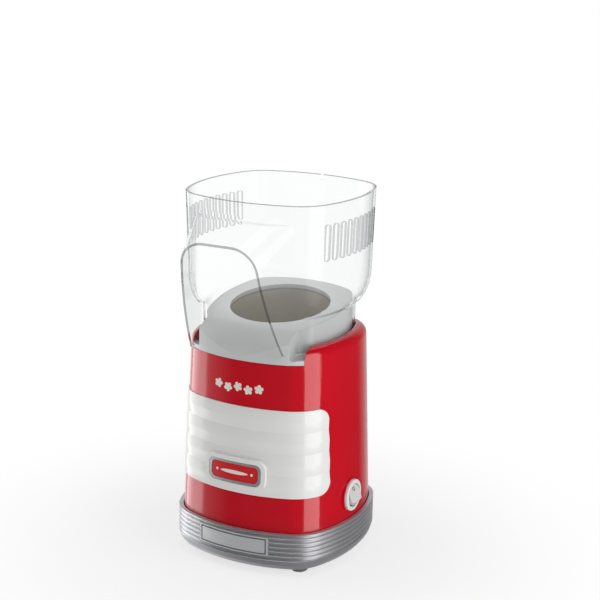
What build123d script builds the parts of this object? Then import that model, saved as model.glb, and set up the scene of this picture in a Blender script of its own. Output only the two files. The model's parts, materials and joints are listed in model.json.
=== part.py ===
"""Hot-air popcorn maker: tapered housing on a ribbed base, with a clear hopper and spout hood.

Millimetres. +Z is up, the spout faces -Y, and the origin is on the floor under the middle of the base.
"""
from build123d import *
import math
import os

# Driving dimensions

# Fits
FIT_GAP = 0.3
SHAFT_CLEARANCE = 0.05

# Base
FOOT_HEIGHT = 3.5
FOOT_RADIUS = 7.0
BASE_HALF = 75.5
BASE_TOP = 36.0
FOOT_SPREAD = BASE_HALF - 29.0
BASE_BOTTOM_HALF = BASE_HALF - 8.5
BASE_SIDE_RADIUS = BASE_HALF + 46.5
BASE_CORNER_RADIUS = BASE_HALF - 40.5
RIB_COUNT = 5
RIB_PITCH = 3.8
RIB_DEPTH = 1.3
RIB_TOP_MARGIN = 2.6
LEDGE_HEIGHT = BASE_TOP - 6.0
LEDGE_WIDTH = 2.5
BOTTOM_OPENING_HALF = BASE_BOTTOM_HALF - 2.5
BOTTOM_PLATE_THICKNESS = 3.0
GRILLE_SLOTS = 7
GRILLE_SLOT_WIDTH = 3.0
GRILLE_SLOT_LENGTH = 40.0
GRILLE_PITCH = 7.0
PLATE_WIDTH = 62.0
PLATE_HEIGHT = 15.5
PLATE_THICKNESS = 2.0
PLATE_MIDDLE = BASE_TOP - 11.2

# Housing
HOUSING_BOTTOM_HALF = BASE_HALF - 3.8
HOUSING_TOP_HALF = HOUSING_BOTTOM_HALF - 5.8
HOUSING_SHOULDER = 168.0
HOUSING_TOP = HOUSING_SHOULDER + 17.0
HOUSING_SIDE_RADIUS = HOUSING_BOTTOM_HALF + 46.3
HOUSING_CORNER_RADIUS = HOUSING_BOTTOM_HALF - 38.7
HOUSING_WALL = 2.4
SHOULDER_RADIUS = 8.0
COLLAR_OPENING_HALF = HOUSING_TOP_HALF - SHOULDER_RADIUS - 0.9
NOTCH_HALF_WIDTH = COLLAR_OPENING_HALF - 6.5
NOTCH_HEIGHT = 172.3

# White band with its badge
BAND_BOTTOM = LEDGE_HEIGHT + 35.0
BAND_HEIGHT = 71.0
BAND_TOP = BAND_BOTTOM + BAND_HEIGHT
BAND_WRAP = 34.0
BAND_CORNER_RADIUS = 10.0
BAND_RECESS = 1.0
BAND_PROUD = 1.2
BAND_WAVES = 4
BAND_WAVE_DEPTH = 0.6
BADGE_HEIGHT_Z = BAND_BOTTOM + 17.0
INSERT_SIZE = (42.0, 13.5)
FRAME_SIZE = (INSERT_SIZE[0] + 5.0, INSERT_SIZE[1] + 4.5)
BEZEL_SIZE = (FRAME_SIZE[0] + 7.0, FRAME_SIZE[1] + 7.0)
BEZEL_PROUD = 3.4
FRAME_PROUD = BEZEL_PROUD - 0.5
INSERT_PROUD = FRAME_PROUD - 0.4

# Switch on the right-hand side
SWITCH_Y = -4.0
SWITCH_Z = LEDGE_HEIGHT + 24.0
SWITCH_PAD_X = HOUSING_BOTTOM_HALF - 0.8
SWITCH_BORE_RADIUS = 9.8
SWITCH_BODY_RADIUS = SWITCH_BORE_RADIUS + 1.2
SWITCH_BEZEL_RADIUS = SWITCH_BORE_RADIUS + 3.2
SWITCH_BODY_DEPTH = 20.0
SWITCH_BEZEL_THICKNESS = 2.2
SWITCH_PAD_MARGIN = 1.5
ROCKER_RADIUS = SWITCH_BORE_RADIUS - 0.9
ROCKER_PIN_RADIUS = 1.2
ROCKER_TILT = 9.0
ROCKER_CROWN = 6.2
ROCKER_FACET_ANGLE = 14.0
TERMINAL_SIZE = (7.0, 4.8, 0.8)

# Clear cover: neck and drum
COVER_WALL = 2.0
COVER_SEAT_GAP = FIT_GAP
NECK_HALF = COLLAR_OPENING_HALF - 0.5
NECK_TOP = HOUSING_TOP + 21.0
DRUM_BOTTOM = NECK_TOP + 26.0
RIM_HEIGHT = 298.0
DRUM_BOTTOM_HALF = NECK_HALF + 11.4
RIM_HALF = DRUM_BOTTOM_HALF + 1.6
COVER_SIDE_BOW = 1.8
COVER_CORNER_SHARE = 0.45
FLARE_STEPS = 6
VENT_COUNT = 10
VENT_PITCH = 8.75
VENT_WIDTH = 5.0
VENT_LENGTH = 29.0
VENT_TOP = RIM_HEIGHT - 15.5
VENT_BOTTOM = VENT_TOP - VENT_LENGTH
RIM_NOTCH = (3.0, 4.5)

# Tray and popping chamber
TRAY_HALF = NECK_HALF - COVER_WALL - 0.7
TRAY_WALL = 2.5
TRAY_DROP = 3.0
TRAY_FLANGE_BOTTOM = HOUSING_TOP - 9.0
TRAY_FLANGE_THICKNESS = 3.0
TRAY_FLANGE_HALF = COLLAR_OPENING_HALF + 1.3
TRAY_MID_HEIGHT = HOUSING_TOP + 18.5
TRAY_SLOPE = 8.0
MOUTH_RADIUS = TRAY_HALF - 13.3
GASKET_THICKNESS = 1.5
GASKET_WIDTH = 2.5
CHUTE_START = -(MOUTH_RADIUS + GASKET_WIDTH + 0.2)
CHUTE_END = -(HOUSING_TOP_HALF + 0.1)
CHUTE_LIP = NOTCH_HEIGHT + 2.1
CHUTE_HALF_WIDTH = NOTCH_HALF_WIDTH - 10.2
APRON_TOP = NOTCH_HEIGHT + 3.9
CHAMBER_WALL = 1.0
CHAMBER_DEPTH = 81.5
CHAMBER_FLOOR = TRAY_MID_HEIGHT - CHAMBER_DEPTH
CHAMBER_FLANGE_Z = CHAMBER_FLOOR + 26.0
CHAMBER_SLOTS = 24
CHAMBER_SLOT = (2.0, 14.0)

# Clear cover: spout hood, as half widths at foot and shoulder, top height and corner radius
HOOD_BACK_Y = -(TRAY_HALF - 11.8)
HOOD_FRONT_Y = -(RIM_HALF + 29.5)
HOOD_BACK = (NOTCH_HALF_WIDTH - 1.5, NOTCH_HALF_WIDTH + 0.5, RIM_HEIGHT + 4.0, 16.0)
HOOD_FRONT = (HOOD_BACK[0] - 13.0, HOOD_BACK[1] - 19.0, RIM_HEIGHT - 27.5, 20.0)
HOOD_BOTTOM = APRON_TOP + 0.4
HOOD_FOOT_Y = CHUTE_END - 0.5
HOOD_BULGE = 4.75
HOOD_BELLY_DROP = 0.3

# Heater and fan
HEATER_INNER_RADIUS = MOUTH_RADIUS + 4.0
HEATER_WALL = 1.0
HEATER_BOTTOM = CHAMBER_FLOOR - 30.0
FAN_HOUSING_RADIUS = HEATER_INNER_RADIUS + 4.5
FAN_HOUSING_WALL = 2.5
FAN_FLOOR = HEATER_BOTTOM - 32.0
FAN_FLOOR_THICKNESS = 3.0
POST_RADIUS = 5.0
POST_SPREAD = HEATER_INNER_RADIUS - 12.5
SCREW_RADIUS = 1.5
SCREW_HEAD_RADIUS = 3.0
MICA_THICKNESS = 1.0
MICA_HEIGHT = 20.0
MICA_RADIUS = HEATER_INNER_RADIUS - 1.0
COIL_RADIUS = MICA_RADIUS - 9.5
COIL_WIRE_RADIUS = 0.9
COIL_TURNS = 5
COIL_PITCH = 0.18 * MICA_HEIGHT
THERMOSTAT_Z = CHAMBER_FLOOR - 2.0
FUSE_BOTTOM = CHAMBER_FLOOR - 10.0
IMPELLER_RADIUS = FAN_HOUSING_RADIUS - 15.0
IMPELLER_BLADES = 10
IMPELLER_HEIGHT = 15.0
IMPELLER_LIFT = 4.0
FAN_INLET_RADIUS = IMPELLER_RADIUS - 4.0
HUB_RADIUS = 7.0
SHAFT_RADIUS = 1.5
MOTOR_RADIUS = 14.0
MOTOR_LENGTH = 30.0
MOTOR_SCREW_SPREAD = MOTOR_RADIUS - 5.0
BOARD_RADIUS = MOTOR_RADIUS - 1.0
BOARD_THICKNESS = 1.6

# Cord gland
GLAND_Z = SWITCH_Z - 2.0
GLAND_RADIUS = 6.5
GLAND_FLANGE_RADIUS = GLAND_RADIUS + 2.5
GLAND_BORE = 3.6

# Reach of cutting blocks, and the whole object's shift to the middle of its plan
FAR = 400.0
FRONT_CUT = 200.0
FRAME_SHIFT_Y = (-HOOD_FRONT_Y - BASE_HALF) / 2


# Plan outlines

def bowed_square(half, side_radius, corner_radius, z=0.0):
    """A square face with bowed sides and round corners, at height z."""
    reach = side_radius - half
    spread = side_radius - corner_radius
    c = (-reach + math.sqrt(2 * spread**2 - reach**2)) / 2
    length = math.hypot(c, c + reach)
    near = Vector(c + corner_radius * c / length, c + corner_radius * (c + reach) / length)
    diagonal = c + corner_radius / math.sqrt(2)
    edges = []
    for quarter in range(4):
        turn = 90 * quarter
        start = Vector(-near.X, near.Y).rotate(Axis.Z, turn)
        crown = Vector(0, half).rotate(Axis.Z, turn)
        end = near.rotate(Axis.Z, turn)
        corner = Vector(diagonal, diagonal).rotate(Axis.Z, turn)
        after = Vector(near.Y, near.X).rotate(Axis.Z, turn)
        edges.append(ThreePointArc(start, crown, end).edge())
        edges.append(ThreePointArc(end, corner, after).edge())
    return Pos(0, 0, z) * make_face(Wire(edges))


def base_plan(z, half):
    inset = BASE_HALF - half
    return bowed_square(half, BASE_SIDE_RADIUS - inset, BASE_CORNER_RADIUS - inset, z)


def housing_plan(z, inset=0.0):
    share = (z - LEDGE_HEIGHT) / (HOUSING_SHOULDER - LEDGE_HEIGHT)
    half = HOUSING_BOTTOM_HALF + (HOUSING_TOP_HALF - HOUSING_BOTTOM_HALF) * share - inset
    return bowed_square(half, HOUSING_SIDE_RADIUS - inset, HOUSING_CORNER_RADIUS - inset, z)


def drum_plan(z, half, inset=0.0):
    side_radius = COVER_SIDE_BOW * half - inset
    corner_radius = COVER_CORNER_SHARE * half - inset
    return bowed_square(half - inset, side_radius, corner_radius, z)


def neck_plan(z, half):
    """An outline that runs parallel to the cover's neck."""
    return drum_plan(z, NECK_HALF, NECK_HALF - half)


def stack(*faces):
    """A solid through flat faces that lie one above another."""
    return loft(list(faces), ruled=True)


def prism(face, height, bottom=None):
    """A straight column on a plan, from the plan's height or from another one."""
    if bottom is not None:
        face = Pos(0, 0, bottom - face.center().Z) * face
    return extrude(face, amount=height, dir=(0, 0, 1))


def disc(radius, bottom, top):
    return Pos(0, 0, bottom) * extrude(Circle(radius), amount=top - bottom)


def tube(outer, inner, bottom, top):
    return disc(outer, bottom, top) - disc(inner, bottom, top)


def block(x, y, z):
    """A box between pairs of limits."""
    size = [b - a for a, b in (x, y, z)]
    middle = [(a + b) / 2 for a, b in (x, y, z)]
    return Pos(*middle) * Box(*size)


def along_x(radius, start, end, y, z):
    """A round bar along X."""
    return Pos(start, y, z) * Rot(0, 90, 0) * extrude(Circle(radius), amount=end - start)


def along_y(radius, start, end, x, z):
    """A round bar along Y."""
    return Pos(x, start, z) * Rot(-90, 0, 0) * extrude(Circle(radius), amount=end - start)


def corners(spread):
    return [(sx * spread, sy * spread) for sx in (-1, 1) for sy in (-1, 1)]


# Base

def rib_sections():
    """Plan sections up the base, with a groove above each rib."""
    top = BASE_TOP - RIB_TOP_MARGIN
    low = top - RIB_COUNT * RIB_PITCH
    rise = low - FOOT_HEIGHT
    spread = BASE_HALF - BASE_BOTTOM_HALF
    sections = [
        base_plan(FOOT_HEIGHT, BASE_BOTTOM_HALF),
        base_plan(FOOT_HEIGHT + 0.2 * rise, BASE_BOTTOM_HALF + 0.5 * spread),
        base_plan(FOOT_HEIGHT + 0.55 * rise, BASE_BOTTOM_HALF + 0.86 * spread),
        base_plan(low - 0.22 * RIB_PITCH, BASE_HALF),
    ]
    for rib in range(RIB_COUNT):
        z = low + rib * RIB_PITCH
        sections.append(base_plan(z, BASE_HALF - RIB_DEPTH))
        sections.append(base_plan(z + 0.25 * RIB_PITCH, BASE_HALF - RIB_DEPTH))
        sections.append(base_plan(z + 0.5 * RIB_PITCH, BASE_HALF))
        sections.append(base_plan(z + 0.78 * RIB_PITCH, BASE_HALF))
    sections.append(base_plan(top, BASE_HALF - RIB_DEPTH))
    sections.append(base_plan(top + 0.25 * RIB_PITCH, BASE_HALF - RIB_DEPTH))
    sections.append(base_plan(top + 0.5 * RIB_PITCH, BASE_HALF))
    sections.append(base_plan(BASE_TOP, BASE_HALF))
    return sections


def plate_zone(grow, inner):
    """The curved pocket of the name plate in the front of the base."""
    half_x = PLATE_WIDTH / 2 + grow
    half_z = PLATE_HEIGHT / 2 + grow
    window = block((-half_x, half_x), (-FRONT_CUT, 0), (PLATE_MIDDLE - half_z, PLATE_MIDDLE + half_z))
    shell = prism(base_plan(FOOT_HEIGHT, BASE_HALF), BASE_TOP)
    shell -= prism(base_plan(FOOT_HEIGHT, inner), BASE_TOP)
    return shell & window


def base_shell():
    body = stack(*rib_sections())
    spigot = HOUSING_BOTTOM_HALF + FIT_GAP
    body -= prism(base_plan(LEDGE_HEIGHT, spigot), BASE_TOP)
    body -= prism(base_plan(FOOT_HEIGHT + 2 * BOTTOM_PLATE_THICKNESS, spigot - LEDGE_WIDTH), BASE_TOP)
    body -= prism(base_plan(0, BOTTOM_OPENING_HALF), BASE_TOP)
    return body - plate_zone(FIT_GAP, BASE_HALF - PLATE_THICKNESS)


def name_plate():
    return plate_zone(0, BASE_HALF - PLATE_THICKNESS + 0.1)


def bottom_plate():
    plate = prism(base_plan(FOOT_HEIGHT, BOTTOM_OPENING_HALF - FIT_GAP), BOTTOM_PLATE_THICKNESS)
    for row in range(GRILLE_SLOTS):
        y = (row - (GRILLE_SLOTS - 1) / 2) * GRILLE_PITCH
        outline = SlotOverall(GRILLE_SLOT_LENGTH, GRILLE_SLOT_WIDTH)
        slot = Pos(0, y, FOOT_HEIGHT) * extrude(outline, BOTTOM_PLATE_THICKNESS)
        plate -= slot
    for x, y in corners(POST_SPREAD):
        plate -= Pos(x, y, 0) * disc(SCREW_RADIUS + SHAFT_CLEARANCE, 0, BASE_TOP)
    return plate


def foot(x, y):
    pad = Pos(x, y, 0) * disc(FOOT_RADIUS, 0, FOOT_HEIGHT)
    return chamfer(pad.edges().group_by(Axis.Z)[0], 0.8)


def base_screws():
    screws = []
    top = FOOT_HEIGHT + BOTTOM_PLATE_THICKNESS + 10
    for x, y in corners(POST_SPREAD):
        shank = Pos(x, y, 0) * disc(SCREW_RADIUS, FOOT_HEIGHT, top)
        head = Pos(x, y, 0) * disc(SCREW_HEAD_RADIUS, FOOT_HEIGHT - 2, FOOT_HEIGHT)
        screws.append(head + shank)
    return screws


# Housing, band and badge

def housing_block(inset, bottom, top):
    return stack(housing_plan(bottom, inset), housing_plan(top, inset))


def band_window(grow):
    """The band's outline, as a prism across the housing."""
    depth = FRONT_CUT - BAND_WRAP
    outline = Rectangle(depth + grow, BAND_TOP - BAND_BOTTOM + 2 * grow)
    outline = Pos(-(BAND_WRAP + depth / 2) + grow / 2, (BAND_TOP + BAND_BOTTOM) / 2) * outline
    ends = outline.vertices().group_by(Axis.X)[-1]
    outline = fillet(ends, BAND_CORNER_RADIUS + grow)
    return extrude(Plane.YZ * outline, amount=FAR, both=True)


def badge_window(size, grow=0.0):
    """A rounded rectangle, as a prism along Y in front of the housing."""
    width, height = size[0] + 2 * grow, size[1] + 2 * grow
    outline = RectangleRounded(width, height, min(height / 2 - 0.5, 0.3 * height))
    return Pos(0, 0, BADGE_HEIGHT_Z) * extrude(Plane.XZ * outline, amount=FRONT_CUT)


def badge_piece(size, inner, outer, grow=0.0):
    """A curved badge layer between two offsets from the housing's surface."""
    low, high = BADGE_HEIGHT_Z - size[1], BADGE_HEIGHT_Z + size[1]
    shell = housing_block(-outer, low, high) - housing_block(-inner, low, high)
    return shell & badge_window(size, grow)


def housing():
    body = housing_block(0, LEDGE_HEIGHT, HOUSING_SHOULDER)
    body += stack(housing_plan(HOUSING_SHOULDER), housing_plan(HOUSING_TOP))
    body = body.clean()
    body = fillet(body.edges().group_by(Axis.Z)[-1], SHOULDER_RADIUS)
    shoulder_inset = HOUSING_TOP_HALF - COLLAR_OPENING_HALF
    inner_top = HOUSING_TOP - HOUSING_WALL
    body -= stack(
        housing_plan(LEDGE_HEIGHT - 1, HOUSING_WALL),
        housing_plan(HOUSING_SHOULDER + HOUSING_WALL, HOUSING_WALL),
        housing_plan(inner_top, shoulder_inset),
    )
    body -= prism(neck_plan(HOUSING_SHOULDER, COLLAR_OPENING_HALF), FAR)
    body -= block((-NOTCH_HALF_WIDTH, NOTCH_HALF_WIDTH), (-FRONT_CUT, -BAND_WRAP), (NOTCH_HEIGHT, FAR))
    skin = housing_block(-10, LEDGE_HEIGHT, HOUSING_SHOULDER)
    skin -= housing_block(BAND_RECESS, LEDGE_HEIGHT, HOUSING_SHOULDER)
    body -= skin & band_window(FIT_GAP / 2)
    pad_radius = SWITCH_BEZEL_RADIUS + SWITCH_PAD_MARGIN
    body += along_x(pad_radius, SWITCH_PAD_X - 4, SWITCH_PAD_X, SWITCH_Y, SWITCH_Z)
    body -= along_x(pad_radius, SWITCH_PAD_X, FAR, SWITCH_Y, SWITCH_Z)
    body -= along_x(SWITCH_BODY_RADIUS + FIT_GAP, 0, FAR, SWITCH_Y, SWITCH_Z)
    return body - along_y(GLAND_RADIUS + FIT_GAP / 3, 0, FAR, 0, GLAND_Z)


def band_panel():
    steps = 4 * BAND_WAVES
    sections = []
    for step in range(steps + 1):
        z = BAND_BOTTOM + (BAND_TOP - BAND_BOTTOM) * step / steps
        swell = BAND_PROUD - BAND_WAVE_DEPTH / 2 * (1 + math.cos(2 * math.pi * step / 4))
        sections.append(housing_plan(z, -swell))
    panel = stack(*sections) - housing_block(BAND_RECESS - 0.1, BAND_BOTTOM, BAND_TOP)
    panel &= band_window(0)
    panel += badge_piece(BEZEL_SIZE, 0, BEZEL_PROUD)
    panel -= badge_piece(FRAME_SIZE, 0.4, BEZEL_PROUD + 5, FIT_GAP / 2)
    return panel


def badge_frame():
    frame = badge_piece(FRAME_SIZE, 0.5, FRAME_PROUD)
    return frame - badge_piece(INSERT_SIZE, 0, FRAME_PROUD + 5, FIT_GAP / 2)


def badge_insert():
    return badge_piece(INSERT_SIZE, 0.5, INSERT_PROUD)


# Switch

def switch_bezel():
    end = SWITCH_PAD_X + SWITCH_BEZEL_THICKNESS
    ring = along_x(SWITCH_BEZEL_RADIUS, SWITCH_PAD_X, end, SWITCH_Y, SWITCH_Z)
    ring = fillet(ring.edges().group_by(Axis.X)[-1], 1.0)
    return ring - along_x(SWITCH_BORE_RADIUS, 0, FAR, SWITCH_Y, SWITCH_Z)


def switch_body():
    start = SWITCH_PAD_X - SWITCH_BODY_DEPTH
    body = along_x(SWITCH_BODY_RADIUS, start, SWITCH_PAD_X, SWITCH_Y, SWITCH_Z)
    body -= along_x(SWITCH_BORE_RADIUS, start + 4, SWITCH_PAD_X, SWITCH_Y, SWITCH_Z)
    reach = SWITCH_BODY_RADIUS
    return body - along_y(ROCKER_PIN_RADIUS, SWITCH_Y - reach, SWITCH_Y + reach, rocker_axis_x(), SWITCH_Z)


def rocker_axis_x():
    return SWITCH_PAD_X - 3.0


def rocker_pin():
    reach = SWITCH_BODY_RADIUS - 0.2
    return along_y(ROCKER_PIN_RADIUS, SWITCH_Y - reach, SWITCH_Y + reach, rocker_axis_x(), SWITCH_Z)


def switch_rocker():
    """A round rocker with two flat faces that meet over the pin, rocked towards off."""
    axis_x = rocker_axis_x()
    body = along_x(ROCKER_RADIUS, axis_x - 6, axis_x + 9, SWITCH_Y, SWITCH_Z)
    body &= along_y(ROCKER_RADIUS + FIT_GAP, SWITCH_Y - 20, SWITCH_Y + 20, axis_x, SWITCH_Z)
    crown = Pos(axis_x + ROCKER_CROWN, SWITCH_Y, SWITCH_Z)
    for lean in (-1, 1):
        body -= crown * Rot(0, lean * ROCKER_FACET_ANGLE, 0) * block((0, 30), (-30, 30), (-30, 30))
    body -= along_y(ROCKER_PIN_RADIUS + SHAFT_CLEARANCE, SWITCH_Y - 20, SWITCH_Y + 20, axis_x, SWITCH_Z)
    pivot = Axis((axis_x, SWITCH_Y, SWITCH_Z), (0, 1, 0))
    return body.rotate(pivot, -ROCKER_TILT)


def switch_terminals():
    length, width, thickness = TERMINAL_SIZE
    end = SWITCH_PAD_X - SWITCH_BODY_DEPTH
    blades = []
    across = (SWITCH_Y - width / 2, SWITCH_Y + width / 2)
    for z in (SWITCH_Z - 4, SWITCH_Z + 4):
        blades.append(block((end - length, end), across, (z - thickness / 2, z + thickness / 2)))
    return blades


# Tray and popping chamber

def tray_height(y):
    return TRAY_MID_HEIGHT + math.tan(math.radians(TRAY_SLOPE)) * y


def tray_profile(drop):
    """The space under the tray's top face, lowered by drop, as a prism across X."""
    back = FAR / 4
    bend = Vector(CHUTE_START, tray_height(CHUTE_START) - drop)
    lip = Vector(CHUTE_END, CHUTE_LIP - drop)
    slope = math.radians(TRAY_SLOPE)
    top = Line((back, tray_height(back) - drop), bend)
    chute = TangentArc(bend, lip, tangent=(-math.cos(slope), -math.sin(slope)))
    rest = Polyline(lip, (CHUTE_END, 0), (back, 0), (back, tray_height(back) - drop))
    outline = Wire([top.edge(), chute.edge(), *rest.edges()])
    return extrude(Plane.YZ * make_face(outline), amount=FAR, both=True)


def tray():
    """Sloping tray with the chamber's mouth, a collar under its edge and a chute to the front lip."""
    flange_top = TRAY_FLANGE_BOTTOM + TRAY_FLANGE_THICKNESS
    collar = prism(neck_plan(TRAY_FLANGE_BOTTOM, TRAY_HALF), FAR / 4)
    foot = NOTCH_HEIGHT + FIT_GAP
    chute = block((-CHUTE_HALF_WIDTH, CHUTE_HALF_WIDTH), (-FRONT_CUT, 0), (foot, FAR / 2))
    chute &= prism(housing_plan(foot), FAR / 2)
    solid = (collar + chute) & tray_profile(0)
    hollow = prism(neck_plan(0, TRAY_HALF - TRAY_WALL), FAR)
    slot = CHUTE_HALF_WIDTH - TRAY_WALL
    hollow += block((-slot, slot), (-FRONT_CUT, 0), (0, FAR)) & prism(housing_plan(foot, TRAY_WALL), FAR, 0)
    solid -= hollow & tray_profile(TRAY_DROP)
    flange = prism(neck_plan(TRAY_FLANGE_BOTTOM, TRAY_FLANGE_HALF), TRAY_FLANGE_THICKNESS)
    flange -= prism(neck_plan(0, TRAY_HALF - TRAY_WALL), FAR)
    passage = block((-slot, slot), (-FRONT_CUT, 0), (0, FAR))
    solid += flange - passage
    solid += tray_apron() - passage
    return solid - disc(MOUTH_RADIUS, 0, FAR)


def tray_apron():
    """Ledge that fills the housing's front notch on both sides of the chute."""
    low = NOTCH_HEIGHT + FIT_GAP
    reach = NOTCH_HALF_WIDTH - FIT_GAP
    ledge = prism(housing_plan(low, FIT_GAP), APRON_TOP - low)
    ledge &= block((-reach, reach), (-FRONT_CUT, -BAND_WRAP - FIT_GAP), (low, APRON_TOP))
    return ledge - prism(neck_plan(0, TRAY_HALF - TRAY_WALL), FAR)


def tilted_slab(low, high):
    """The space between two offsets below the tray's sloping top plane."""
    size = FAR
    slab = block((-size, size), (-size, size), (low, high))
    return Pos(0, 0, TRAY_MID_HEIGHT) * Rot(TRAY_SLOPE, 0, 0) * slab


def tray_underside():
    """Distance from the tray's sloping plane down to its underside."""
    return -TRAY_DROP * math.cos(math.radians(TRAY_SLOPE))


def chamber_gasket():
    under = tray_underside()
    ring = tube(MOUTH_RADIUS + GASKET_WIDTH, MOUTH_RADIUS, CHAMBER_FLOOR, FAR)
    return ring & tilted_slab(under - GASKET_THICKNESS, under)


def popping_chamber():
    """Aluminium cup with air slots round its foot, a step that sits on the heater can and a sloping rim."""
    outer = MOUTH_RADIUS + CHAMBER_WALL
    under = tray_underside() - GASKET_THICKNESS
    cup = disc(outer, CHAMBER_FLOOR, FAR) - disc(MOUTH_RADIUS, CHAMBER_FLOOR + CHAMBER_WALL, FAR)
    rim = tube(MOUTH_RADIUS + GASKET_WIDTH, MOUTH_RADIUS, CHAMBER_FLANGE_Z, FAR)
    cup += rim & tilted_slab(under - CHAMBER_WALL, under)
    cup &= tilted_slab(-FAR, under)
    cup += tube(HEATER_INNER_RADIUS + HEATER_WALL, MOUTH_RADIUS, CHAMBER_FLANGE_Z, CHAMBER_FLANGE_Z + 1.5)
    width, height = CHAMBER_SLOT
    low = CHAMBER_FLOOR + 3
    for slot in range(CHAMBER_SLOTS):
        cutter = block((MOUTH_RADIUS - 5, outer + 5), (-width / 2, width / 2), (low, low + height))
        cup -= Rot(0, 0, 360 * slot / CHAMBER_SLOTS) * cutter
    return cup


# Heater

def heater_can():
    return tube(HEATER_INNER_RADIUS + HEATER_WALL, HEATER_INNER_RADIUS, HEATER_BOTTOM, CHAMBER_FLANGE_Z)


def mica_board(lower):
    """One of two boards that cross, each slotted half way where they meet."""
    low, high = HEATER_BOTTOM, HEATER_BOTTOM + MICA_HEIGHT
    half = MICA_THICKNESS / 2
    middle = (low + high) / 2
    board = block((-MICA_RADIUS, MICA_RADIUS), (-half, half), (low, high))
    gap = half + 0.05
    span = (low, middle) if lower else (middle, high)
    board -= block((-gap, gap), (-1, 1), span)
    for side in (-1, 1):
        for turn in range(COIL_TURNS):
            for quarter in (0, 2) if lower else (1, 3):
                if (quarter in (0, 1)) == (side > 0):
                    z = coil_height(turn + quarter / 4)
                    hole = along_y(COIL_WIRE_RADIUS + 0.6, -1, 1, side * COIL_RADIUS, z)
                    board -= hole
    return board if lower else Rot(0, 0, 90) * board


def coil_height(turn):
    low = HEATER_BOTTOM + (MICA_HEIGHT - COIL_TURNS * COIL_PITCH) / 2
    return low + COIL_PITCH * (turn + 0.3)


def heating_coil():
    """Resistance wire wound through the crossed boards, one round turn above another."""
    helix = Helix(COIL_PITCH, COIL_PITCH * (COIL_TURNS - 0.25), COIL_RADIUS)
    path = Pos(0, 0, coil_height(0)) * helix
    start = path @ 0
    section = Plane(origin=start, z_dir=path % 0) * Circle(COIL_WIRE_RADIUS)
    return sweep(section, path=path, is_frenet=True)


def thermostat():
    """Disc thermostat clipped to the outside of the heater can."""
    face = HEATER_INNER_RADIUS + HEATER_WALL + 0.1
    body = along_y(7.0, face, face + 6, 0, THERMOSTAT_Z)
    body += along_y(5.0, face + 6, face + 9, 0, THERMOSTAT_Z)
    return body + block((-9, 9), (face + 6, face + 6.8), (THERMOSTAT_Z - 2, THERMOSTAT_Z + 2))


def thermal_fuse():
    """Axial fuse beside the thermostat, in a glass sleeve."""
    face = HEATER_INNER_RADIUS + HEATER_WALL + 0.1
    return Rot(0, 0, -60) * (Pos(face + 2.2, 0, FUSE_BOTTOM) * disc(2.2, 0, 12))


# Fan and motor

def fan_housing():
    """Plenum ring on four posts, with an open floor and a seat for the motor."""
    outer = FAN_HOUSING_RADIUS
    inner = outer - FAN_HOUSING_WALL
    floor_top = FAN_FLOOR + FAN_FLOOR_THICKNESS
    body = tube(outer, inner, FAN_FLOOR, HEATER_BOTTOM)
    body += tube(outer, HEATER_INNER_RADIUS - 2, HEATER_BOTTOM - 3, HEATER_BOTTOM)
    body += tube(outer, FAN_INLET_RADIUS, FAN_FLOOR, floor_top)
    body += disc(MOTOR_RADIUS + 2, FAN_FLOOR, floor_top)
    for spoke in range(3):
        bar = block((MOTOR_RADIUS, FAN_INLET_RADIUS + 2), (-3, 3), (FAN_FLOOR, floor_top))
        body += Rot(0, 0, 120 * spoke + 30) * bar
    plate_top = FOOT_HEIGHT + BOTTOM_PLATE_THICKNESS
    for x, y in corners(POST_SPREAD):
        body += Pos(x, y, 0) * disc(POST_RADIUS, plate_top, FAN_FLOOR)
        body -= Pos(x, y, 0) * disc(SCREW_RADIUS + SHAFT_CLEARANCE, plate_top, plate_top + 12)
    body -= disc(SHAFT_RADIUS + 1.5, 0, FAR)
    for side in (-1, 1):
        body -= Pos(side * MOTOR_SCREW_SPREAD, 0, 0) * disc(SCREW_RADIUS + SHAFT_CLEARANCE, 0, FAR)
    return body


def motor():
    bottom = FAN_FLOOR - MOTOR_LENGTH
    can = disc(MOTOR_RADIUS, bottom, FAN_FLOOR)
    can -= disc(SHAFT_RADIUS + SHAFT_CLEARANCE, bottom + 4, FAR)
    for side in (-1, 1):
        can -= Pos(side * MOTOR_SCREW_SPREAD, 0, 0) * disc(SCREW_RADIUS + SHAFT_CLEARANCE, FAN_FLOOR - 6, FAR)
    return can


def motor_screws():
    screws = []
    top = FAN_FLOOR + FAN_FLOOR_THICKNESS
    for side in (-1, 1):
        shank = disc(SCREW_RADIUS, FAN_FLOOR - 5, top)
        head = disc(SCREW_HEAD_RADIUS, top, top + 1.8)
        screws.append(Pos(side * MOTOR_SCREW_SPREAD, 0, 0) * (shank + head))
    return screws


def rectifier_board():
    """Round board of diodes on the motor's tail."""
    top = FAN_FLOOR - MOTOR_LENGTH
    board = disc(BOARD_RADIUS, top - BOARD_THICKNESS, top)
    for quarter in range(4):
        diode = block((5, 10), (-1.3, 1.3), (top - BOARD_THICKNESS - 2.6, top - BOARD_THICKNESS))
        board += Rot(0, 0, 90 * quarter + 45) * diode
    return board


def motor_shaft():
    return disc(SHAFT_RADIUS, FAN_FLOOR - MOTOR_LENGTH + 5, impeller_bottom() + IMPELLER_HEIGHT)


def impeller_bottom():
    return FAN_FLOOR + FAN_FLOOR_THICKNESS + IMPELLER_LIFT


def fan_impeller():
    bottom = impeller_bottom()
    top = bottom + IMPELLER_HEIGHT
    wheel = disc(HUB_RADIUS, bottom, top) + disc(IMPELLER_RADIUS, bottom, bottom + 1.5)
    for blade in range(IMPELLER_BLADES):
        vane = block((HUB_RADIUS - 1, IMPELLER_RADIUS), (-0.7, 0.7), (bottom, top))
        wheel += Rot(0, 0, 360 * blade / IMPELLER_BLADES) * vane
    return wheel - disc(SHAFT_RADIUS, 0, FAR)


# Clear cover

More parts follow.
